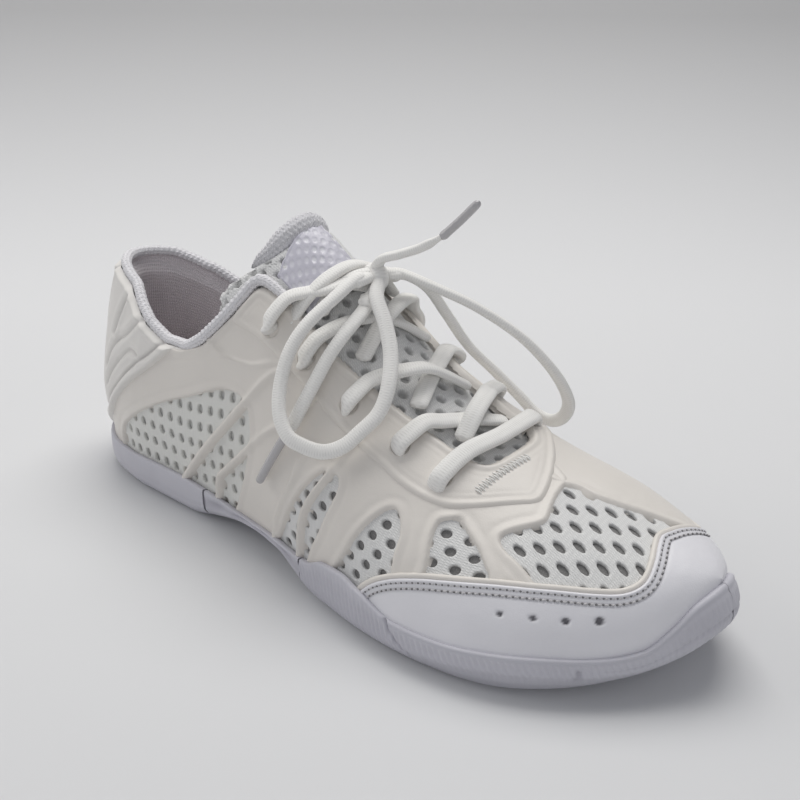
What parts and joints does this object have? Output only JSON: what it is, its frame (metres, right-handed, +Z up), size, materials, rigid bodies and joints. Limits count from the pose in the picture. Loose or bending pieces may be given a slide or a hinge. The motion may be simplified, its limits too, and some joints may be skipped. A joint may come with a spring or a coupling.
{
  "type": "cheer shoe",
  "caption": "Right cheer shoe with a perforated mesh upper, bonded overlays, toe cap, heel clip, split outsole and tied laces.",
  "frame": {"origin": "middle of the shoe's length and width, on the floor under the outsole", "axes": "+X from the heel to the toe, +Y to the inner (medial) side of this right shoe, +Z up"},
  "size_m": [0.255, 0.092, 0.1206],
  "materials": {
    "sole_rubber": "matt moulded rubber, cool white",
    "midsole_foam": "soft foam",
    "fibre_board": "pressed fibre board",
    "upper_mesh": "perforated spacer mesh, cool white",
    "overlay_synthetic": "fine-grained bonded synthetic, warm white",
    "toe_film": "smooth moulded film, cool white",
    "binding_knit": "ribbed knit tape",
    "lining_knit": "soft brushed knit, mauve grey",
    "padding_foam": "open foam",
    "patch_film": "translucent film, grey lilac",
    "lace_weave": "flat-oval braided lace, warm white",
    "aglet_plastic": "clear grey tip"
  },
  "bodies": {
    "shoe": {"outsole_heel": "sole_rubber", "outsole_waist": "sole_rubber", "outsole_forefoot": "sole_rubber", "midsole_heel": "midsole_foam", "midsole_forefoot": "midsole_foam", "insole_board": "fibre_board", "vamp_mesh": "upper_mesh", "quarter_mesh": "upper_mesh", "quarter_lateral": "overlay_synthetic", "quarter_medial": "overlay_synthetic", "eyestay_lateral": "overlay_synthetic", "eyestay_medial": "overlay_synthetic", "vamp_saddle": "overlay_synthetic", "throat_bartack": "binding_knit", "toe_cap": "toe_film", "heel_clip": "overlay_synthetic", "heel_counter": "fibre_board", "collar_padding": "padding_foam", "collar_lining": "lining_knit", "collar_binding": "binding_knit", "lace_bar": "lace_weave", "lace_cross_lateral_1": "lace_weave", "lace_cross_lateral_2": "lace_weave", "lace_cross_lateral_3": "lace_weave", "lace_cross_lateral_4": "lace_weave", "lace_cross_medial_1": "lace_weave", "lace_cross_medial_2": "lace_weave", "lace_cross_medial_3": "lace_weave", "lace_cross_medial_4": "lace_weave", "lace_top_lateral": "lace_weave", "lace_top_medial": "lace_weave", "lace_knot": "lace_weave", "lace_loop_lateral": "lace_weave", "lace_loop_medial": "lace_weave", "lace_end_lateral": "lace_weave", "lace_end_medial": "lace_weave", "aglet_lateral": "aglet_plastic", "aglet_medial": "aglet_plastic"},
    "tongue": {"tongue_body": "upper_mesh", "tongue_lining": "lining_knit", "tongue_pad": "binding_knit", "tongue_patch": "patch_film"},
    "sockliner": {"sockliner": "lining_knit"}
  },
  "joints": [
    {"name": "tongue_press", "type": "hinge", "parent": "shoe", "child": "tongue", "pos_m": [0.062, 0.003, 0.0445], "axis": [0, -1, 0], "range_deg": [0, 5], "stiffness_Nm_per_rad": 1},
    {"name": "sockliner_lift", "type": "hinge", "parent": "shoe", "child": "sockliner", "pos_m": [0.118, 0.008, 0.015], "axis": [0, 1, 0], "range_deg": [0, 5]}
  ]
}
